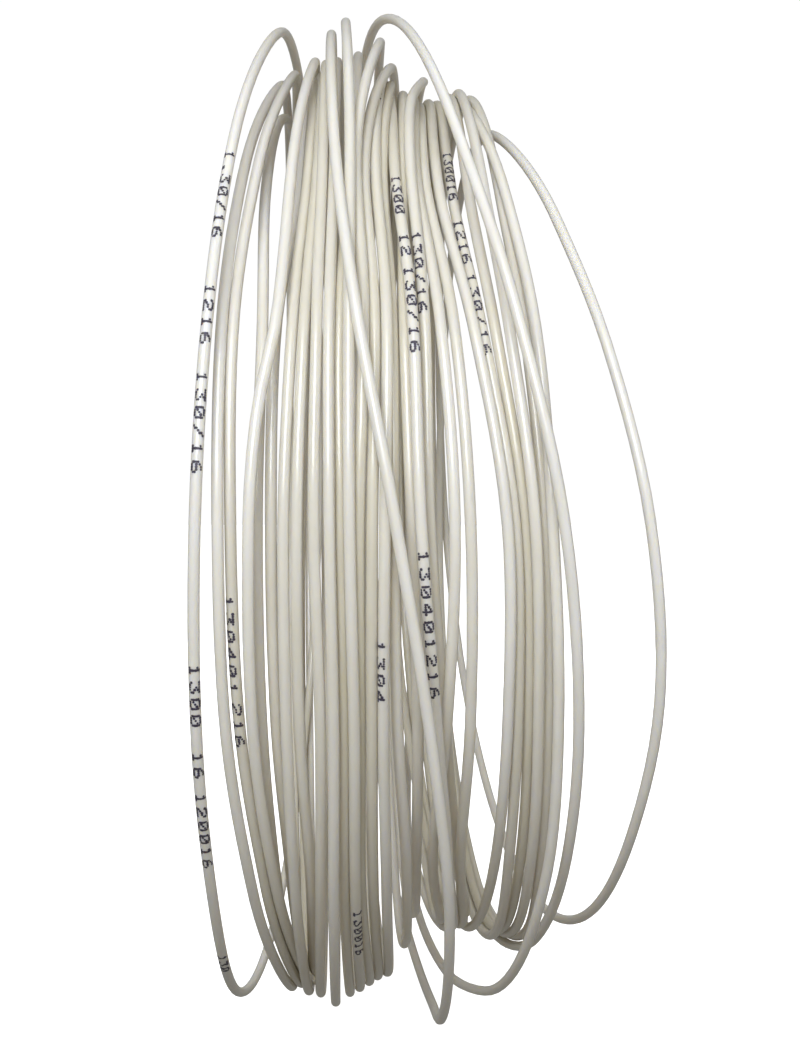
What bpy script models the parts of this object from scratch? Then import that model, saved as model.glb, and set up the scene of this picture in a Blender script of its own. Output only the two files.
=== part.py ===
"""Loose coil of racket string, standing on its rim.

Metres, +Z up.  The coil's axis runs along X, and the open sides face +X and -X.
One string makes the whole object: two bundles of neighbouring turns are solid
rings of the bundle's outer shape, and the turns that stand clear of them are
tubes of the string's own gauge, up to the gap where they meet a bundle.
"""
from math import cos, pi, radians, sin

import bmesh
import bpy

MM = 0.001

# Driving dimensions, in millimetres.
STRING_GAUGE = 1.30
AXIS_HEIGHT = 69.05       # coil axis above the surface it stands on
AXIS_X = -10.63           # puts the origin under the middle of the whole coil
AXIS_Y = 0.02
RING_SECTIONS = 48        # sections round a bundle
SECTION_POINTS = 14       # points round one section
SECTION_SQUARENESS = 2.6  # 2 is an ellipse, more is closer to a rectangle
TUBE_STEP_DEGREES = 3.2   # one tube point for each step round the coil

# Angles round the coil start at the back, go under, up the front and over the top.
BACK, BOTTOM, LOWER_FRONT, FRONT, UPPER_FRONT, TOP = 0, 90, 140, 180, 220, 270
FULL_TURN = 360

STRING_COLOUR = (0.80, 0.79, 0.71, 1.0)
STRING_ROUGHNESS = 0.32

# Bundles: middle and half width along the axis, inner and outer radius.
BUNDLES = {
    "coil_left_turns": {
        BACK: (-1.0, 9.6, 63.6, 68.6),
        BOTTOM: (2.2, 8.8, 60.6, 70.9),
        LOWER_FRONT: (-0.2, 10.4, 63.0, 68.3),
        FRONT: (-2.0, 11.9, 62.8, 68.5),
        UPPER_FRONT: (-1.3, 10.8, 60.2, 68.0),
        TOP: (0.6, 9.2, 56.6, 67.6),
    },
    "coil_right_turns": {
        BACK: (14.2, 4.7, 62.4, 67.2),
        BOTTOM: (20.6, 4.8, 55.4, 61.4),
        LOWER_FRONT: (21.2, 3.6, 58.4, 63.2),
        FRONT: (20.8, 3.4, 60.0, 64.0),
        UPPER_FRONT: (15.9, 4.7, 59.0, 63.2),
        TOP: (15.2, 3.9, 57.6, 62.6),
    },
}

# Loose turns: place along the axis and radius at the hand-set angles, and the
# first and last angle of the stretch that is clear of the bundles.
LOOSE_TURNS = {
    "loose_turn_left": {
        "span": (64, 294),
        "axial": {BACK: -4.0, BOTTOM: -11.8, LOWER_FRONT: -14.7, 160: -15.5, FRONT: -15.3,
                  200: -14.1, UPPER_FRONT: -12.1, 254: -7.8, TOP: -6.8, FULL_TURN: -3.0},
        "radius": {BACK: 62.1, BOTTOM: 65.8, LOWER_FRONT: 68.1, FRONT: 69.5, TOP: 68.9,
                   FULL_TURN: 67.0},
    },
    "loose_turn_front": {
        "span": (85, 281),
        "axial": {BACK: 5.0, 75: 10.7, 106: 13.3, LOWER_FRONT: 12.6, 160: 9.8, FRONT: 5.8,
                  200: 1.6, UPPER_FRONT: -0.7, TOP: -1.1, FULL_TURN: 0.1},
        "radius": {BACK: 68.0, 75: 67.0, BOTTOM: 68.0, 98: 68.8, 108: 70.3, LOWER_FRONT: 70.5,
                   FRONT: 70.2, TOP: 68.7, FULL_TURN: 67.0},
    },
    "loose_turn_high": {
        "span": (125, 302),
        "axial": {BACK: 10.1, BOTTOM: 22.4, 120: 25.8, LOWER_FRONT: 26.8, 160: 26.5, FRONT: 24.1,
                  UPPER_FRONT: 13.6, 254: 6.5, TOP: 4.3, 300: 3.1, FULL_TURN: 3.1},
        "radius": {BACK: 61.2, 106: 60.8, LOWER_FRONT: 63.1, FRONT: 67.1, 254: 70.8,
                   285: 70.4, FULL_TURN: 67.7},
    },
    "loose_turn_right": {
        "span": (24, 284),
        "axial": {BACK: 19.1, BOTTOM: 30.4, LOWER_FRONT: 35.6, 160: 36.8, FRONT: 35.0,
                  200: 30.9, UPPER_FRONT: 26.4, 254: 21.1, FULL_TURN: 17.9},
        "radius": {BACK: 58.9, BOTTOM: 57.4, FRONT: 58.5, TOP: 55.5, FULL_TURN: 57.2},
    },
    "loose_turn_low": {
        "span": (65, 154),
        "axial": {45: 11.7, 60: 11.5, 75: 13.0, BOTTOM: 15.8, 106: 20.0, 120: 22.1,
                  LOWER_FRONT: 24.2, FRONT: 23.4},
        "radius": {45: 65.0, 75: 66.2, 106: 66.7, LOWER_FRONT: 65.4, FRONT: 62.9},
    },
    "loose_turn_tall": {
        "span": (224, 300),
        "axial": {FRONT: 1.1, FULL_TURN: 0.9},
        "radius": {FRONT: 68.4, UPPER_FRONT: 69.5, 254: 70.3, TOP: 70.3, FULL_TURN: 68.2},
    },
    "loose_turn_inner": {
        "span": (118, 196),
        "axial": {BOTTOM: 13.8, 106: 13.8, LOWER_FRONT: 11.0, 160: 11.9, FRONT: 12.4,
                  200: 11.1, UPPER_FRONT: 9.0},
        "radius": {BOTTOM: 56.9, LOWER_FRONT: 61.2, 160: 64.3, FRONT: 65.8, UPPER_FRONT: 63.2},
    },
    "loose_turn_middle": {
        "span": (119, 212),
        "axial": {BOTTOM: 15.9, 106: 16.5, LOWER_FRONT: 14.4, FRONT: 14.1, UPPER_FRONT: 10.1},
        "radius": {BOTTOM: 57.4, LOWER_FRONT: 61.5, 160: 64.2, FRONT: 65.5, UPPER_FRONT: 62.4},
    },
    "string_end_outer": {
        "span": (-34, 4),
        "axial": {-40: 1.5, 10: -2.0},
        "radius": {-40: 71.2, -10: 70.2, 10: 70.2},
    },
    "string_end_inner": {
        "span": (-6, 30),
        "axial": {-10: 14.0, 40: 17.0},
        "radius": {-10: 69.9, 10: 69.9, 40: 71.2},
    },
}


def clear_scene():
    for old in list(bpy.data.objects):
        bpy.data.objects.remove(old, do_unlink=True)


def smooth_value(stations, angle):
    """Read a smooth curve through {angle: value} at one angle."""
    keys = sorted(stations)
    slopes = []
    for index, key in enumerate(keys):
        before = keys[max(index - 1, 0)]
        after = keys[min(index + 1, len(keys) - 1)]
        slopes.append((stations[after] - stations[before]) / (after - before))
    index = 0
    while index < len(keys) - 2 and angle >= keys[index + 1]:
        index += 1
    width = keys[index + 1] - keys[index]
    t = (angle - keys[index]) / width
    start, end = stations[keys[index]], stations[keys[index + 1]]
    return ((2 * t**3 - 3 * t**2 + 1) * start + (t**3 - 2 * t**2 + t) * width * slopes[index]
            + (3 * t**2 - 2 * t**3) * end + (t**3 - t**2) * width * slopes[index + 1])


def closed_stations(stations, column):
    """One column of a bundle's settings, repeated past both ends so that it closes smoothly."""
    once = {angle: values[column] for angle, values in stations.items()}
    around = dict(once)
    around[TOP - FULL_TURN] = once[TOP]
    around[BACK + FULL_TURN] = once[BACK]
    around[BOTTOM + FULL_TURN] = once[BOTTOM]
    return around


def coil_point(axial, radius, angle):
    """World position of a point on the coil, from its place along the axis, radius and angle."""
    turn = radians(angle)
    return (
        (AXIS_X + axial) * MM,
        (AXIS_Y + radius * cos(turn)) * MM,
        (AXIS_HEIGHT - radius * sin(turn)) * MM,
    )


def make_string_material(name):
    material = bpy.data.materials.new(name)
    material.use_nodes = True
    shader = material.node_tree.nodes["Principled BSDF"]
    shader.inputs["Base Color"].default_value = STRING_COLOUR
    shader.inputs["Roughness"].default_value = STRING_ROUGHNESS
    shader.inputs["Metallic"].default_value = 0.0
    return material


def squared(value):
    """Sine or cosine bent towards a rounded rectangle."""
    return abs(value) ** (2 / SECTION_SQUARENESS) * (1 if value >= 0 else -1)


def make_bundle(name, stations, collection):
    """A ring lofted through sections whose width and depth change round the coil."""
    columns = [closed_stations(stations, column) for column in range(4)]
    mesh = bmesh.new()
    sections = []
    for step in range(RING_SECTIONS):
        angle = FULL_TURN * (step + 0.5) / RING_SECTIONS
        middle, half_width, inner, outer = (smooth_value(column, angle) for column in columns)
        section = []
        for point in range(SECTION_POINTS):
            around = 2 * pi * (point + 0.5) / SECTION_POINTS
            axial = middle + half_width * squared(cos(around))
            radius = (inner + outer) / 2 + (outer - inner) / 2 * squared(sin(around))
            x, y, z = coil_point(axial, radius, angle)
            # The rim is flat where the coil rests.
            section.append(mesh.verts.new((x, y, max(z, 0.0))))
        sections.append(section)
    for step, section in enumerate(sections):
        following = sections[(step + 1) % RING_SECTIONS]
        for point in range(SECTION_POINTS):
            beside = (point + 1) % SECTION_POINTS
            mesh.faces.new((section[point], section[beside], following[beside], following[point]))
    bmesh.ops.recalc_face_normals(mesh, faces=mesh.faces)
    data = bpy.data.meshes.new(name)
    mesh.to_mesh(data)
    mesh.free()
    data.shade_smooth()
    data.materials.append(make_string_material(name))
    bundle = bpy.data.objects.new(name, data)
    collection.objects.link(bundle)


def make_loose_turn(name, settings, collection):
    """A tube of the string's gauge along one stretch that stands clear of the bundles."""
    first, last = settings["span"]
    steps = round((last - first) / TUBE_STEP_DEGREES)
    curve = bpy.data.curves.new(name, "CURVE")
    curve.dimensions = "3D"
    curve.bevel_depth = STRING_GAUGE / 2 * MM
    curve.bevel_resolution = 2
    curve.use_fill_caps = True
    spline = curve.splines.new("POLY")
    spline.points.add(steps)
    for step, point in enumerate(spline.points):
        angle = first + (last - first) * step / steps
        axial = smooth_value(settings["axial"], angle)
        radius = smooth_value(settings["radius"], angle)
        point.co = (*coil_point(axial, radius, angle), 1.0)
    curve.materials.append(make_string_material(name))
    turn = bpy.data.objects.new(name, curve)
    collection.objects.link(turn)


def main():
    clear_scene()
    collection = bpy.data.collections.new("racket_string_coil")
    bpy.context.scene.collection.children.link(collection)
    for name, stations in BUNDLES.items():
        make_bundle(name, stations, collection)
    for name, settings in LOOSE_TURNS.items():
        make_loose_turn(name, settings, collection)


main()
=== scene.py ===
# A set of racket string, unwound from its packet into a loose coil that stands on its rim.
import math
import random

import bmesh
import bpy
import numpy as np
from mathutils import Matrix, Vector


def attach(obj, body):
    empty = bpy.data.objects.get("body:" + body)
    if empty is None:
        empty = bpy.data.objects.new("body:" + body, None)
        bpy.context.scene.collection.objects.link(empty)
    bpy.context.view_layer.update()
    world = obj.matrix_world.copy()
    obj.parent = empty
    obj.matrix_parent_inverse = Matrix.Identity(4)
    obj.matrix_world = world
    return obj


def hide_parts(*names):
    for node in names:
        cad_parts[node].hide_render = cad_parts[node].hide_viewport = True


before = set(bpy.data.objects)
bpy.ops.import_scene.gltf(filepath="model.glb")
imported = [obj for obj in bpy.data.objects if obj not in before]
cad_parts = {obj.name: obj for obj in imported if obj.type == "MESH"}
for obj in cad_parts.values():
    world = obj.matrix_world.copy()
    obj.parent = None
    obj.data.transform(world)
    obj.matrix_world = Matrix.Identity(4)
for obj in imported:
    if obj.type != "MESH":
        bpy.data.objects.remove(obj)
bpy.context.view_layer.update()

mm = 0.001

# ---- route of the string ----

coil = {
    "gauge": 1.30,                  # thickness of the string
    "axis": (-10.63, 0.02, 69.05),  # middle of the turns, in the frame
    "stepsPerTurn": 120,
    "apart": 1.05,                  # nearest that two turns lie, in gauges
    "rounds": 150,                  # how often neighbouring turns are eased apart
    "lastRounds": 30,               # of these, the last ones smooth least
    "smoothing": 4,                 # how often each of the others smooths
    "push": 0.6,
    "liftOver": 0.15,               # crossing turns rather pass over each other than aside
    "paintedShadeReach": 2.6,              # how far turns add painted shade to each other
    "paintedShadeShares": (0.07, 0.22),    # painted shade added by turns beside, and by turns further out
    "paintedShadeSmoothing": 8,
    "farAway": 1e6,                 # where a missing turn is put
}

# A turn starts at the back, goes under, up the front and over the top.
axialAngles = (0, 106, 140, 160, 180, 200, 220, 254)
radiusAngles = (0, 106, 180, 254)

# name: places along the axis at the axial angles, then the radius under, in front and on top
turns = {
    "centre1": (-4, -2.6, -2.2, -2.0, -2.6, -2.2, -1.8, -1.8, 66.7, 67.0, 64.6),
    "first": (-2, -4.0, -3.7, -4.6, -4.7, -3.9, -2.6, -2.6, 64.6, 67.0, 63.0),
    "leftPair2": (-7, -5.0, -8.4, -10.8, -11.7, -11.7, -9.7, -6.2, 65.2, 66.0, 63.3),
    "leftPair1": (-9.5, -5.9, -9.8, -12.2, -12.9, -12.8, -11.2, -7.9, 65.4, 67.0, 61.9),
    "shaded1": (-9, -5.2, -7.2, -8.4, -8.8, -8.5, -8.8, -7.8, 64.6, 64.5, 57.5),
    "left": (-4, -13.2, -14.7, -15.5, -15.3, -14.1, -12.1, -7.8, 66.5, 69.5, 68.9),
    "crossing1": (-3, -4.2, -7.9, -9.8, -9.9, -6.9, -5.5, -3.4, 65.0, 67.8, 65.0),
    "crossing2": (-6, -4.6, -5.5, -6.0, -6.1, -5.1, -3.6, -3.3, 65.2, 66.5, 62.3),
    "shaded2": (-7.5, -4.9, -6.0, -7.3, -7.7, -7.3, -4.9, -4.6, 64.0, 64.3, 59.5),
    "centre2": (-1, -0.6, -0.8, -0.8, -1.3, -1.4, -0.9, -0.5, 67.9, 67.0, 65.0),
    "tall": (1, 2.8, 1.7, 1.5, 0.9, 0.8, 1.0, 0.7, 66.1, 68.0, 70.4),
    "centre3": (2, 1.4, 0.6, 0.4, -0.1, -0.3, 1.4, 2.4, 66.7, 66.5, 65.9),
    "front": (5, 13.3, 12.6, 9.9, 5.9, 1.7, -0.6, -1.1, 70.2, 69.9, 68.5),
    "centre4": (0, 4.2, 2.7, 2.5, 2.3, 2.8, 2.0, 5.5, 65.0, 67.0, 67.7),
    "printed": (6, 15.4, 13.1, 10.8, 8.6, 7.7, 6.0, 6.2, 57.6, 67.6, 61.3),
    "centre5": (4, 6.0, 5.1, 4.5, 4.7, 5.2, 4.6, 6.4, 64.2, 67.3, 62.5),
    "centre6": (8, 8.8, 7.9, 6.5, 6.1, 6.1, 5.4, 7.2, 60.3, 66.0, 61.8),
    "covered": (9, 10.0, 9.0, 8.4, 7.3, 6.5, 6.7, 8.0, 56.3, 66.5, 61.0),
    "high": (10, 24.9, 26.8, 26.5, 24.1, 19.1, 13.6, 6.5, 59.9, 67.0, 70.8),
    "centre7": (3, 5.1, 3.8, 3.4, 3.4, 3.8, 2.9, 7.1, 64.6, 67.0, 63.9),
    "inner": (12, 13.9, 11.1, 12.0, 12.5, 11.2, 9.2, 10.2, 57.3, 65.5, 60.0),
    "centre8": (9, 16.7, 13.6, 11.5, 9.7, 9.4, 8.4, 11.4, 57.5, 65.5, 62.6),
    "middle": (11, 16.3, 14.2, 14.4, 14.0, 12.5, 10.0, 11.1, 57.5, 65.5, 59.6),
    "right1": (13, 17.7, 18.8, 18.9, 18.3, 15.0, 11.7, 12.1, 58.1, 63.0, 59.5),
    "right6": (14, 20.0, 24.2, 24.4, 23.4, 22.2, 19.8, 16.4, 66.7, 62.8, 60.0),
    "right4": (17, 23.0, 23.0, 22.4, 21.5, 19.1, 17.1, 16.3, 59.2, 62.6, 60.6),
    "outermost": (19, 32.4, 35.6, 36.8, 35.0, 30.9, 26.4, 21.1, 57.3, 58.5, 55.5),
    "right3": (18, 22.0, 21.9, 21.4, 20.5, 17.7, 15.5, 15.4, 59.0, 61.4, 60.3),
    "right5": (15, 24.2, 24.0, 23.4, 22.5, 20.8, 18.8, 17.4, 59.6, 61.2, 60.2),
    "right2": (16, 21.0, 20.5, 20.2, 19.4, 16.2, 13.4, 13.2, 59.3, 61.8, 59.2),
}

# extra places on a turn: angle: (place along the axis or None, radius or None)
extraPoints = {
    "front": {60: (8.5, 66.8), 75: (10.7, None), 90: (12.4, 68.2), 98: (None, 68.9), 114: (None, 70.6)},
    "crossing1": {190: (-9.0, None)},
    "high": {120: (25.9, None), 270: (4.3, None), 288: (3.2, None)},
    "centre8": {236: (8.9, None)},
    "right6": {60: (11.5, None), 90: (15.8, None)},
}

# The two bare ends lie on the outside of the bundle, at the back: angle past the
# first or last turn, place along the axis, radius.
ends = {
    "outer": ((-40, 1.5, 71.2), (-8, -1.6, 70.2)),
    "inner": ((8, 14.5, 69.9), (40, 17.0, 71.2)),
}


def smoothCurve(keys, wanted):
    # a smooth curve through given (angle, value) pairs, read at many angles at once
    keys, values = np.array(sorted(keys), float).T
    slopes = np.empty_like(values)
    slopes[1:-1] = (values[2:] - values[:-2]) / (keys[2:] - keys[:-2])
    slopes[0] = (values[1] - values[0]) / (keys[1] - keys[0])
    slopes[-1] = (values[-1] - values[-2]) / (keys[-1] - keys[-2])
    i = np.clip(np.searchsorted(keys, wanted, side="right") - 1, 0, len(keys) - 2)
    width = keys[i + 1] - keys[i]
    t = (wanted - keys[i]) / width
    rise = (3 - 2 * t) * t * t
    return (values[i] * (1 - rise) + values[i + 1] * rise
            + width * (slopes[i] * t * (1 - t) ** 2 - slopes[i + 1] * t * t * (1 - t)))


def averaged(values, times):
    for _ in range(times):
        inner = 0.25 * values[:-2] + 0.5 * values[1:-1] + 0.25 * values[2:]
        values = np.concatenate([values[:1], inner, values[-1:]])
    return values


def sections(axial, radius, firstStep):
    # differences and gaps between all turns, cut at the same angle: one table for each angle
    perTurn = coil["stepsPerTurn"]
    rows = -(-(firstStep + len(axial)) // perTurn)
    cells = np.arange(firstStep, firstStep + len(axial))
    grids = []
    for values in (axial, radius):
        grid = coil["farAway"] * (1.0 + np.arange(rows * perTurn))
        grid[cells] = values
        grid = grid.reshape(rows, perTurn).T
        grids.append(grid[:, :, None] - grid[:, None, :])
    gap = np.sqrt(grids[0] ** 2 + grids[1] ** 2) + 1e-9
    same = np.arange(rows)
    gap[:, same, same] = coil["farAway"]
    return (*grids, gap, cells)


def easeApart(axial, radius, firstStep):
    # neighbouring turns push each other along and across the coil until they lie side by side
    least = coil["gauge"] * coil["apart"]
    shiftX = np.zeros(len(axial))
    shiftR = np.zeros(len(axial))
    for lap in range(coil["rounds"]):
        dx, dr, gap, cells = sections(axial + shiftX, radius + shiftR, firstStep)
        over = np.clip(least - gap, 0, None)
        pushX = (dx / gap * over).sum(2) * coil["push"]
        pushR = (dr / gap * over + np.sign(dr) * over * coil["liftOver"]).sum(2) * coil["push"]
        times = coil["smoothing"] if lap < coil["rounds"] - coil["lastRounds"] else 1
        shiftX = averaged(shiftX + pushX.T.ravel()[cells], times)
        shiftR = averaged(shiftR + pushR.T.ravel()[cells], times)
    return axial + shiftX, radius + shiftR


def paintedCrowdShade(axial, radius, firstStep):
    # painted shade: 0 where the string stands clear, up to 1 where other turns lie round it and over it; it
    # makes the base colour darker and warmer there
    dx, dr, gap, cells = sections(axial, radius, firstStep)
    near = np.exp(-(gap / coil["paintedShadeReach"]) ** 2)
    beside, over = coil["paintedShadeShares"]
    share = (near * beside + near * (dr < 0) * over).sum(2)
    return np.clip(averaged(share.T.ravel()[cells], coil["paintedShadeSmoothing"]), 0, 1)


def stringRoute():
    names = list(turns)
    axialKeys = []
    radiusKeys = []
    for index, name in enumerate(names):
        row = turns[name]
        start = 360 * index
        before = turns[names[index - 1]]
        if index:
            axialKeys.append((start, row[0]))
            radiusKeys.append((start, (before[10] + row[8]) / 2))
        axialKeys += [(start + a, x) for a, x in zip(axialAngles[1:], row[1:8])]
        radiusKeys += [(start + a, r) for a, r in zip(radiusAngles[1:], row[8:])]
        for a, (x, r) in extraPoints.get(name, {}).items():
            if x is not None:
                axialKeys.append((start + a, x))
            if r is not None:
                radiusKeys.append((start + a, r))
    last = 360 * len(names)
    for offset, end in ((0, ends["outer"]), (last, ends["inner"])):
        axialKeys += [(offset + a, x) for a, x, r in end]
        radiusKeys += [(offset + a, r) for a, x, r in end]
    step = 360 / coil["stepsPerTurn"]
    firstAngle, lastAngle = ends["outer"][0][0], last + ends["inner"][-1][0]
    leadIn = math.floor(firstAngle / step)
    angle = np.arange(leadIn, math.ceil(lastAngle / step) + 1) * step
    axial = smoothCurve(axialKeys, angle)
    radius = smoothCurve(radiusKeys, angle)
    firstStep = leadIn + coil["stepsPerTurn"]
    axial, radius = easeApart(axial, radius, firstStep)
    lie = np.radians(angle)
    around = np.stack([axial, radius * np.cos(lie), -radius * np.sin(lie)], axis=1)
    return (np.array(coil["axis"]) + around) * mm, angle, paintedCrowdShade(axial, radius, firstStep)


# the third value is the painted shade for each point of the route
route, routeAngle, routePaintedShade = stringRoute()
routeSteps = np.linalg.norm(np.diff(route, axis=0), axis=1)
routeLength = np.concatenate([[0], np.cumsum(routeSteps)])
stringLength = float(routeLength[-1])
print("route:", len(turns), "turns,", round(stringLength, 3), "m, lowest", route[:, 2].min() / mm)

# ---- node helpers ----


class Value:
    # a number, vector or colour on its way through a node tree
    def __init__(self, maker, node, socket):
        self.maker = maker
        self.node = node
        self.socket = socket

    def out(self, name):
        return Value(self.maker, self.node, self.node.outputs[name])

    def math(self, operation, *others):
        return self.maker.add("ShaderNodeMath", {"operation": operation}, [self, *others])

    def __add__(self, other):
        return self.math("ADD", other)

    def __mul__(self, other):
        return self.math("MULTIPLY", other)

    def __truediv__(self, other):
        return self.math("DIVIDE", other)


class Maker:
    # adds nodes to one tree and links them
    def __init__(self, tree):
        self.tree = tree

    def add(self, kind, settings=None, values=None, output=0):
        node = self.tree.nodes.new(kind)
        for name, setting in (settings or {}).items():
            if name == "captures":
                for form, label in setting:
                    node.capture_items.new(form, label)
            else:
                setattr(node, name, setting)
        pairs = enumerate(values) if isinstance(values, (list, tuple)) else (values or {}).items()
        for key, value in pairs:
            self.give(node.inputs[key], value)
        return Value(self, node, node.outputs[output]) if node.outputs else node

    def give(self, socket, value):
        if isinstance(value, Value):
            self.tree.links.new(value.socket, socket)
        elif value is not None:
            socket.default_value = value


def newMaterial(name):
    material = bpy.data.materials.new(name)
    material.use_nodes = True
    material.node_tree.nodes.clear()
    maker = Maker(material.node_tree)
    shader = maker.add("ShaderNodeBsdfPrincipled")
    maker.add("ShaderNodeOutputMaterial", None, {"Surface": shader})
    return material, maker, shader.node


def newGeometry(name, inputs):
    tree = bpy.data.node_groups.new(name, "GeometryNodeTree")
    tree.interface.new_socket("Geometry", in_out="INPUT", socket_type="NodeSocketGeometry")
    for label, (form, value) in inputs.items():
        socket = tree.interface.new_socket(label, in_out="INPUT", socket_type=form)
        if value is not None:
            socket.default_value = value
    tree.interface.new_socket("Geometry", in_out="OUTPUT", socket_type="NodeSocketGeometry")
    maker = Maker(tree)
    return tree, maker, maker.add("NodeGroupInput")


def finishGeometry(maker, geometry):
    maker.add("NodeGroupOutput", None, [geometry])


def grown(name, source, tree, chosen):
    # runs a geometry tree on a mesh and keeps the result as a plain mesh
    holder = bpy.data.objects.new(name + ".source", source)
    bpy.context.scene.collection.objects.link(holder)
    modifier = holder.modifiers.new("grow", "NODES")
    modifier.node_group = tree
    for item in tree.interface.items_tree:
        if item.in_out == "INPUT" and item.name in chosen:
            modifier[item.identifier] = chosen[item.name]
    graph = bpy.context.evaluated_depsgraph_get()
    mesh = bpy.data.meshes.new_from_object(holder.evaluated_get(graph))
    mesh.name = name
    bpy.data.objects.remove(holder)
    piece = bpy.data.objects.new(name, mesh)
    bpy.context.scene.collection.objects.link(piece)
    return piece


# ---- finishes ----

nylon = {
    "pearl": (0.83, 0.79, 0.735),
    # the cream is the tone of the random clouds and also the painted shade where turns crowd
    "creamAndShade": (0.58, 0.52, 0.38),
    "cloudLength": 0.045,       # metres along the string from one cloud to the next
    "streakLength": 0.006,
    "squeeze": 0.35,            # how little the clouds change across the string
    "cloudShare": 0.4,
    "streakShare": 0.25,
    "tintFrom": 0.22,           # from here up to tintTo the string turns from pearl to cream, through random clouds and streaks and through painted shade where turns crowd
    "tintTo": 1.2,
    "roughness": (0.25, 0.36),
    "wrapPitch": 0.0075,        # one twist of the outer filaments
    "wrapCount": 5,
    "wrapHeight": 0.000004,
    "glow": 0.70,               # share of light that goes through the surface layer
    "glowDepth": 0.0007,
    "glowColour": (1.0, 0.92, 0.62),
    "refraction": 1.53,
    "coat": 0.55,
    "coatRoughness": 0.18,
}

ink = {"dark": (0.028, 0.022, 0.034), "worn": (0.085, 0.07, 0.095), "patchScale": 2600.0, "roughness": 0.55}

filaments = {
    "gaps": (0.52, 0.49, 0.40),
    "ends": (0.84, 0.82, 0.74),
    "scale": 9000.0,            # filaments for each metre
    "gapWidth": 0.12,
    "roughness": 0.6,
}


def nylonMaterial():
    material, maker, shader = newMaterial("pearlNylon")
    strand = maker.add("ShaderNodeAttribute", {"attribute_name": "strand"}, output="Vector")
    parts = maker.add("ShaderNodeSeparateXYZ", None, [strand])
    across, beside, along = parts, parts.out("Y"), parts.out("Z")

    def cloth(length, detail):
        squeeze = nylon["squeeze"]
        place = maker.add("ShaderNodeCombineXYZ", None, [across * squeeze, beside * squeeze, along / length])
        return maker.add("ShaderNodeTexNoise", None,
                         {"Vector": place, "Scale": 1.0, "Detail": detail, "Roughness": 0.55})

    clouds = cloth(nylon["cloudLength"], 2.0)
    streaks = cloth(nylon["streakLength"], 3.0)
    # painted shade where turns crowd, read from the string
    paintedShade = maker.add("ShaderNodeAttribute", {"attribute_name": "paintedShade"}, output="Fac")
    # pearl turns to cream by random clouds and streaks, and also where turns crowd, as painted shade
    tintAndPaintedShade = maker.add("ShaderNodeMapRange", {"clamp": True},
                       {"Value": clouds * nylon["cloudShare"] + streaks * nylon["streakShare"] + paintedShade,
                        "From Min": nylon["tintFrom"], "From Max": nylon["tintTo"],
                        "To Min": 0.0, "To Max": 1.0})
    colour = maker.add("ShaderNodeMix", {"data_type": "RGBA"},
                       {"Factor": tintAndPaintedShade, "A": (*nylon["pearl"], 1), "B": (*nylon["creamAndShade"], 1)},
                       output="Result")
    low, high = nylon["roughness"]
    rough = streaks * (high - low) + low
    turnAngle = across.math("ARCTAN2", beside)
    wrap = (turnAngle * nylon["wrapCount"] + along * (2 * math.pi / nylon["wrapPitch"])).math("SINE")
    bump = maker.add("ShaderNodeBump", None,
                     {"Strength": 0.5, "Distance": nylon["wrapHeight"], "Height": wrap})
    maker.give(shader.inputs["Base Color"], colour)
    maker.give(shader.inputs["Roughness"], rough)
    maker.give(shader.inputs["Normal"], bump)
    shader.inputs["Subsurface Weight"].default_value = nylon["glow"]
    shader.inputs["Subsurface Radius"].default_value = nylon["glowColour"]
    shader.inputs["Subsurface Scale"].default_value = nylon["glowDepth"]
    shader.inputs["IOR"].default_value = nylon["refraction"]
    shader.inputs["Coat Weight"].default_value = nylon["coat"]
    shader.inputs["Coat Roughness"].default_value = nylon["coatRoughness"]
    return material


def inkMaterial():
    material, maker, shader = newMaterial("printInk")
    place = maker.add("ShaderNodeTexCoord", None, None, output="Object")
    patches = maker.add("ShaderNodeTexNoise", None,
                        {"Vector": place, "Scale": ink["patchScale"], "Detail": 1.0})
    colour = maker.add("ShaderNodeMix", {"data_type": "RGBA"},
                       {"Factor": patches, "A": (*ink["dark"], 1), "B": (*ink["worn"], 1)},
                       output="Result")
    maker.give(shader.inputs["Base Color"], colour)
    shader.inputs["Roughness"].default_value = ink["roughness"]
    return material


def cutMaterial():
    # cut face: pale core filaments in a slightly darker skin
    material, maker, shader = newMaterial("cutFilaments")
    place = maker.add("ShaderNodeTexCoord", None, None, output="Object")
    cells = maker.add("ShaderNodeTexVoronoi", {"feature": "DISTANCE_TO_EDGE"},
                      {"Vector": place, "Scale": filaments["scale"]})
    edge = maker.add("ShaderNodeMapRange", {"clamp": True},
                     {"Value": cells, "From Min": 0.0, "From Max": filaments["gapWidth"],
                      "To Min": 0.0, "To Max": 1.0})
    colour = maker.add("ShaderNodeMix", {"data_type": "RGBA"},
                       {"Factor": edge, "A": (*filaments["gaps"], 1), "B": (*filaments["ends"], 1)},
                       output="Result")
    maker.give(shader.inputs["Base Color"], colour)
    shader.inputs["Roughness"].default_value = filaments["roughness"]
    return material


pearlNylon = nylonMaterial()
printInk = inkMaterial()
cutFilaments = cutMaterial()
print("finishes made")

# ---- the string itself ----

tube = {"sides": 16, "chamfer": 0.12}   # chamfer of the cut ends, in millimetres


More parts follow.
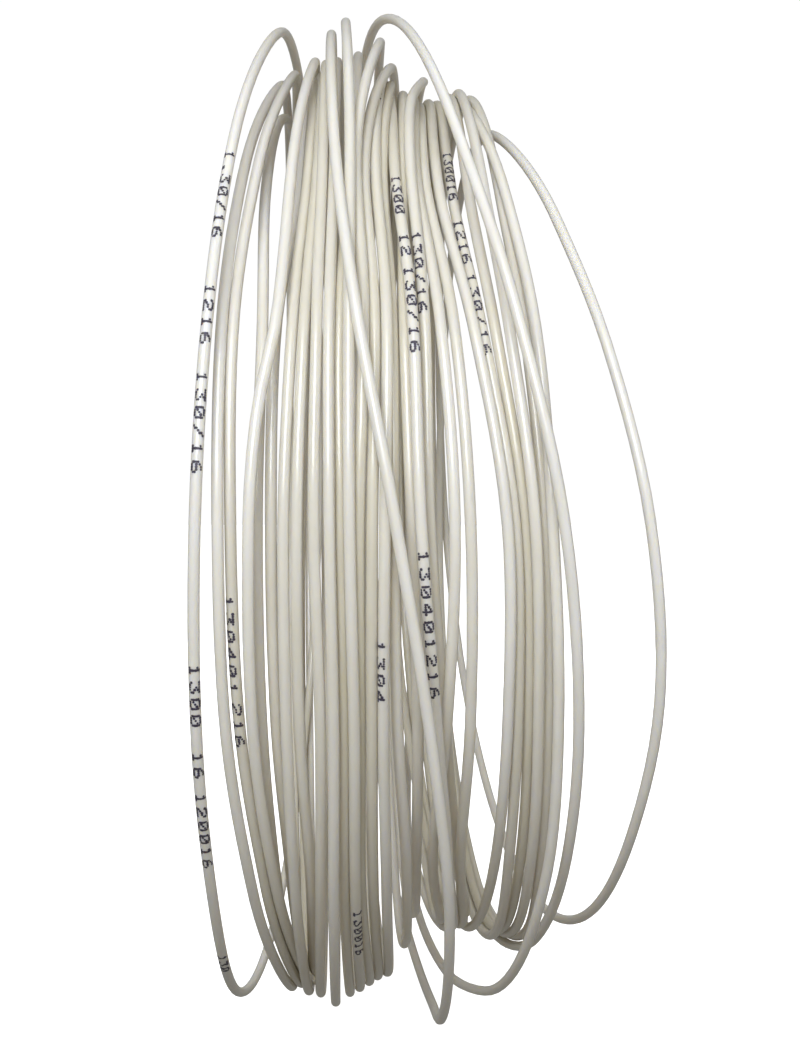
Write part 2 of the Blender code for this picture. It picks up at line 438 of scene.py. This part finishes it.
def stringTree():
    tree, maker, group = newGeometry("stringTube", {
        "Gauge": ("NodeSocketFloat", 0.0013),
        "Sides": ("NodeSocketInt", 16),
        "Finish": ("NodeSocketMaterial", None),
    })
    line = maker.add("GeometryNodeMeshToCurve", None, [group.out("Geometry")])
    slim = maker.add("GeometryNodeInputNamedAttribute", {"data_type": "FLOAT"}, {"Name": "slim"})
    line = maker.add("GeometryNodeSetCurveRadius", None, {"Curve": line, "Radius": slim})
    run = maker.add("GeometryNodeSplineParameter", output="Length")
    line = maker.add("GeometryNodeCaptureAttribute", {"captures": [("FLOAT", "Run")]},
                     {"Geometry": line, "Run": run})
    ring = maker.add("GeometryNodeCurvePrimitiveCircle", {"mode": "RADIUS"},
                     {"Resolution": group.out("Sides"), "Radius": group.out("Gauge") * 0.5})
    spot = maker.add("GeometryNodeInputPosition")
    ring = maker.add("GeometryNodeCaptureAttribute", {"captures": [("VECTOR", "Spot")]},
                     {"Geometry": ring, "Spot": spot})
    skin = maker.add("GeometryNodeCurveToMesh", None,
                     {"Curve": line, "Profile Curve": ring, "Fill Caps": True})
    ringPlace = maker.add("ShaderNodeSeparateXYZ", None, [ring.out("Spot")])
    half = group.out("Gauge") * 0.5
    strand = maker.add("ShaderNodeCombineXYZ", None,
                       [ringPlace / half, ringPlace.out("Y") / half, line.out("Run")])
    skin = maker.add("GeometryNodeStoreNamedAttribute", {"data_type": "FLOAT_VECTOR", "domain": "POINT"},
                     {"Geometry": skin, "Name": "strand", "Value": strand})
    skin = maker.add("GeometryNodeSetShadeSmooth", None, {"Geometry": skin, "Shade Smooth": True})
    skin = maker.add("GeometryNodeRealizeInstances", None, [skin])
    skin = maker.add("GeometryNodeSetMaterial", None, {"Geometry": skin, "Material": group.out("Finish")})
    finishGeometry(maker, skin)
    return tree


def lineMesh(name, points, slimness, paintedShade):
    mesh = bpy.data.meshes.new(name)
    links = [(i, i + 1) for i in range(len(points) - 1)]
    mesh.from_pydata([tuple(p) for p in points], links, [])
    mesh.attributes.new("slim", "FLOAT", "POINT").data.foreach_set("value", slimness)
    # the painted shade among crowded turns goes with the points to the nylon finish
    mesh.attributes.new("paintedShade", "FLOAT", "POINT").data.foreach_set("value", paintedShade)
    return mesh


def chamferedRoute():
    # two more rings close to each cut end, so that its edge is broken
    chamfer = tube["chamfer"] * mm
    first = route[0] + (route[1] - route[0]) * chamfer / routeSteps[0]
    last = route[-1] + (route[-2] - route[-1]) * chamfer / routeSteps[-1]
    points = np.concatenate([route[:1], [first], route[1:-1], [last], route[-1:]])
    slimness = np.ones(len(points))
    slimness[[0, -1]] = 1 - chamfer / (coil["gauge"] * mm / 2)
    paintedShade = np.concatenate([routePaintedShade[:1], routePaintedShade, routePaintedShade[-1:]])
    return points, slimness, paintedShade


ringCentres, slimness, paintedShade = chamferedRoute()
racketString = grown("racketString", lineMesh("stringLine", ringCentres, slimness, paintedShade), stringTree(), {
    "Gauge": coil["gauge"] * mm,
    "Sides": tube["sides"],
    "Finish": pearlNylon,
})
print("string:", len(racketString.data.polygons), "faces")

# ---- printed gauge marks ----

printing = {
    "pitch": 1.92,          # from one figure to the next, in millimetres
    "column": 0.27,         # from one dot to the next along the string
    "row": 0.18,            # and across it
    "dot": 0.155,           # radius of a dot
    "proud": 0.006,         # thickness of the ink
    "uneven": 0.18,         # how much the dots differ in size
    "middleRow": 3,
    "dotSides": 8,
    "seed": 7,
}

figures = {
    "0": "01110 10001 10011 10101 11001 10001 01110",
    "1": "00100 01100 00100 00100 00100 00100 01110",
    "2": "01110 10001 00001 00110 01000 10000 11111",
    "3": "11111 00010 00100 00010 00001 10001 01110",
    "4": "00010 00110 01010 10010 11111 00010 00010",
    "6": "00110 01000 10000 11110 10001 10001 01110",
    "/": "00001 00010 00010 00100 01000 01000 10000",
    ".": "00000 00000 00000 00000 00000 00110 00110",
}

# turn, angle where the print starts, text, side of the string that it is on, in
# degrees from straight out of the coil
prints = [
    ("left", 216.7, "1.30/16", 0),
    ("left", 201.3, "1216", 0),
    ("left", 193, "130/16", 0),
    ("left", 167.3, "1300", 5),
    ("left", 158.8, "16", 5),
    ("left", 154.4, "120016", 5),
    ("left", 129.5, "130", 0),
    ("printed", 218, "1300", 0),
    ("printed", 209, "12", 0),
    ("printed", 204.8, "130/16", 5),
    ("printed", 177.3, "130401216", 0),
    ("centre8", 210, "130/16", -30),
    ("right2", 229.5, "130016", 0),
    ("right2", 215.6, "1216", -5),
    ("right2", 207.5, "130/16", -10),
    ("leftPair2", 173, "130401", -42),
    ("leftPair2", 162.5, "216", -15),
    ("centre5", 169, "1304", -48),
    ("tall", 137, "130016", 28),
    ("centre5", 237, "16", -20),
    ("centre1", 330, "130/16", 0),
    ("leftPair1", 12, "1.30/16", -10),
    ("leftPair1", 348, "1216", 10),
    ("crossing2", 28, "130/16", 0),
    ("centre3", 352, "1300", 5),
    ("centre3", 338, "120016", 5),
    ("printed", 16, "130/16", 0),
    ("centre6", 340, "1.30/16", -5),
    ("inner", 322, "1216", 0),
    ("right3", 24, "130/16", 0),
    ("outermost", 306, "1.30/16", 5),
    ("right5", 350, "1300", 0),
    ("right5", 336, "120016", 0),
    ("right4", 68, "130/16", 0),
    ("leftPair2", 292, "130/16", 0),
    ("centre2", 60, "1.30/16", 0),
]


def printedDots():
    names = list(turns)
    steady = random.Random(printing["seed"])
    places, normals, sizes = [], [], []
    half = coil["gauge"] / 2 * mm
    for turn, start, text, side in prints:
        begin = np.interp(360 * names.index(turn) + start, routeAngle, routeLength)
        for index, letter in enumerate(text):
            for row, bits in enumerate(figures[letter].split()):
                for column, bit in enumerate(bits):
                    if bit == "0":
                        continue
                    back = (index * printing["pitch"] + column * printing["column"]) * mm
                    run = begin - back
                    spot = np.array([np.interp(run, routeLength, route[:, k]) for k in range(3)])
                    lie = np.radians(np.interp(run, routeLength, routeAngle))
                    near = np.searchsorted(routeLength, run)
                    heading = Vector(route[near] - route[near - 1]).normalized()
                    outward = Vector((0, math.cos(lie), -math.sin(lie)))
                    outward = (outward - heading * outward.dot(heading)).normalized()
                    up = outward.cross(-heading)
                    turned = math.radians(side) + (printing["middleRow"] - row) * printing["row"] * mm / half
                    normal = outward * math.cos(turned) + up * math.sin(turned)
                    places.append(Vector(spot) + normal * half)
                    normals.append(normal)
                    sizes.append(1 + steady.uniform(-1, 1) * printing["uneven"])
    mesh = bpy.data.meshes.new("printPlaces")
    mesh.from_pydata([tuple(p) for p in places], [], [])
    flat = [value for normal in normals for value in normal]
    mesh.attributes.new("facing", "FLOAT_VECTOR", "POINT").data.foreach_set("vector", flat)
    mesh.attributes.new("size", "FLOAT", "POINT").data.foreach_set("value", sizes)
    return mesh


def dotTree():
    tree, maker, group = newGeometry("inkDots", {
        "Dot radius": ("NodeSocketFloat", 0.0001),
        "Ink height": ("NodeSocketFloat", 0.00001),
        "Ink": ("NodeSocketMaterial", None),
    })
    dot = maker.add("GeometryNodeMeshCylinder", None,
                    {"Vertices": printing["dotSides"], "Radius": group.out("Dot radius"),
                     "Depth": group.out("Ink height") * 2})
    facing = maker.add("GeometryNodeInputNamedAttribute", {"data_type": "FLOAT_VECTOR"},
                       {"Name": "facing"})
    size = maker.add("GeometryNodeInputNamedAttribute", {"data_type": "FLOAT"}, {"Name": "size"})
    turned = maker.add("FunctionNodeAlignRotationToVector", {"axis": "Z"}, {"Vector": facing})
    dots = maker.add("GeometryNodeInstanceOnPoints", None,
                     {"Points": group.out("Geometry"), "Instance": dot, "Rotation": turned, "Scale": size})
    dots = maker.add("GeometryNodeRealizeInstances", None, [dots])
    dots = maker.add("GeometryNodeSetMaterial", None, {"Geometry": dots, "Material": group.out("Ink")})
    finishGeometry(maker, dots)
    return tree


gaugePrint = grown("gaugePrint", printedDots(), dotTree(), {
    "Dot radius": printing["dot"] * mm,
    "Ink height": printing["proud"] * mm,
    "Ink": printInk,
})
print("print:", len(gaugePrint.data.polygons), "faces")

# ---- cut ends ----

cut = {
    "rings": 6,
    "spokes": 28,
    "crown": 0.07,      # rise of the middle, in millimetres
    "rough": 0.025,     # how uneven the cut filaments are
    "proud": 0.004,     # the face stands this far off the end of the tube
    "sunk": 0.02,       # and its rear this far in it
    "seed": 3,
}


def cutFace(name, centre, beyond):
    # a slightly crowned, rough disc that closes the chamfered end of the tube
    steady = random.Random(cut["seed"])
    outward = Vector(centre - beyond).normalized()
    side = outward.orthogonal().normalized()
    up = outward.cross(side)
    limit = (coil["gauge"] / 2 - tube["chamfer"]) * mm
    form = bmesh.new()
    rows = []
    for ring in range(1, cut["rings"] + 1):
        share = ring / cut["rings"]
        row = []
        for spoke in range(cut["spokes"]):
            turn = 2 * math.pi * spoke / cut["spokes"]
            lift = cut["crown"] * (1 - share ** 2) + steady.uniform(0, cut["rough"]) * (share < 1)
            place = Vector(centre) + (side * math.cos(turn) + up * math.sin(turn)) * limit * share
            row.append(form.verts.new(place + outward * (lift + cut["proud"]) * mm))
        rows.append(row)
    middle = form.verts.new(Vector(centre) + outward * (cut["crown"] + cut["proud"]) * mm)
    rear = form.verts.new(Vector(centre) - outward * cut["sunk"] * mm)
    for spoke in range(cut["spokes"]):
        after = (spoke + 1) % cut["spokes"]
        form.faces.new((middle, rows[0][spoke], rows[0][after]))
        form.faces.new((rear, rows[-1][after], rows[-1][spoke]))
        for inner, outer in zip(rows, rows[1:]):
            form.faces.new((inner[spoke], outer[spoke], outer[after], inner[after]))
    bmesh.ops.recalc_face_normals(form, faces=form.faces)
    mesh = bpy.data.meshes.new(name)
    form.to_mesh(mesh)
    form.free()
    mesh.materials.append(cutFilaments)
    piece = bpy.data.objects.new(name, mesh)
    bpy.context.scene.collection.objects.link(piece)
    return piece


cutOuter = cutFace("cutFaceOuter", route[0], route[1])
cutInner = cutFace("cutFaceInner", route[-1], route[-2])

# ---- what belongs to what ----

for piece in (racketString, gaugePrint, cutOuter, cutInner):
    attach(piece, "root")
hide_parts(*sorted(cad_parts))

# ---- stage, light and camera ----

studio = {
    "distance": 247.0,      # camera to the middle of the coil
    "lens": 58.04,
    "pan": 2.04,            # degrees to the right, as the turns in line with the camera stand left
    "floorSize": 60.0,      # metres
    "floorColour": (0.93, 0.93, 0.925),
    "floorGlow": 0.95,      # the floor is lit through, so that it stays white under the coil
    "skyAbove": 0.32,
    "skyBelow": 0.20,
    "skyWhite": 1.02,       # what the camera sees past the floor
    "skyColour": (0.98, 0.96, 0.88),
    "softboxes": {          # place, aim, width and height in metres, watts, colour
        "keyFront": ((-0.10, -0.50, 0.33), (0, 0, 0.07), (0.30, 0.30), 3.0, (0.85, 0.915, 1.0)),
        "fillRight": ((0.50, -0.36, 0.20), (0, 0, 0.07), (0.30, 0.60), 0.5, (0.86, 0.925, 1.0)),
        "topLight": ((-0.05, -0.05, 0.75), (0, 0, 0.07), (0.50, 0.50), 0.35, (0.90, 0.945, 1.0)),
        "rearLight": ((0.10, 0.60, 0.30), (0, 0, 0.07), (0.60, 0.40), 1.6, (0.90, 0.945, 1.0)),
    },
}


def floorMaterial():
    material, maker, shader = newMaterial("paleFloor")
    shader.inputs["Base Color"].default_value = (*studio["floorColour"], 1)
    shader.inputs["Roughness"].default_value = 0.9
    shader.inputs["Specular IOR Level"].default_value = 0.1
    shader.inputs["Emission Color"].default_value = (1, 1, 1, 1)
    shader.inputs["Emission Strength"].default_value = studio["floorGlow"]
    return material


def makeFloor():
    half = studio["floorSize"] / 2
    form = bmesh.new()
    bmesh.ops.create_grid(form, x_segments=1, y_segments=1, size=half)
    mesh = bpy.data.meshes.new("floor")
    form.to_mesh(mesh)
    form.free()
    mesh.materials.append(floorMaterial())
    floor = bpy.data.objects.new("floor", mesh)
    floor.visible_diffuse = False       # it throws no light back at the coil
    floor.visible_glossy = False        # and doesn't shine in it
    bpy.context.scene.collection.objects.link(floor)


def softbox(name, place, aim, size, power, colour):
    data = bpy.data.lights.new(name, "AREA")
    data.shape = "RECTANGLE"
    data.size, data.size_y = size
    data.energy = power
    data.color = colour
    lamp = bpy.data.objects.new(name, data)
    lamp.location = place
    lamp.rotation_euler = (Vector(aim) - Vector(place)).to_track_quat("-Z", "Y").to_euler()
    lamp.visible_glossy = place[1] < 0      # no glare from behind on the tops of the turns
    bpy.context.scene.collection.objects.link(lamp)


def makeLight():
    world = bpy.data.worlds.new("paleRoom")
    bpy.context.scene.world = world
    world.use_nodes = True
    world.node_tree.nodes.clear()
    maker = Maker(world.node_tree)
    heading = maker.add("ShaderNodeTexCoord", output="Generated")
    height = maker.add("ShaderNodeSeparateXYZ", None, [heading], output="Z")
    low, high = studio["skyBelow"], studio["skyAbove"]
    soft = height * ((high - low) / 2) + (high + low) / 2
    seen = maker.add("ShaderNodeLightPath", output="Is Camera Ray")
    sky = maker.add("ShaderNodeBackground", None, {"Color": (*studio["skyColour"], 1), "Strength": soft})
    white = maker.add("ShaderNodeBackground", None, {"Color": (1, 1, 1, 1), "Strength": studio["skyWhite"]})
    both = maker.add("ShaderNodeMixShader", None, [seen, sky, white])
    maker.add("ShaderNodeOutputWorld", None, {"Surface": both})
    for name, box in studio["softboxes"].items():
        softbox(name, *box)


def makeCamera():
    data = bpy.data.cameras.new("camera")
    data.lens = studio["lens"]
    data.sensor_width = 36
    data.clip_start = 0.01
    camera = bpy.data.objects.new("camera", data)
    x, y, z = coil["axis"]
    camera.location = (x * mm, (y - studio["distance"]) * mm, z * mm)
    camera.rotation_euler = (math.radians(90), 0, -math.radians(studio["pan"]))
    bpy.context.scene.collection.objects.link(camera)
    bpy.context.scene.camera = camera


makeFloor()
makeLight()
makeCamera()
bpy.context.scene.view_settings.view_transform = "Standard"
print("stage, light and camera set")
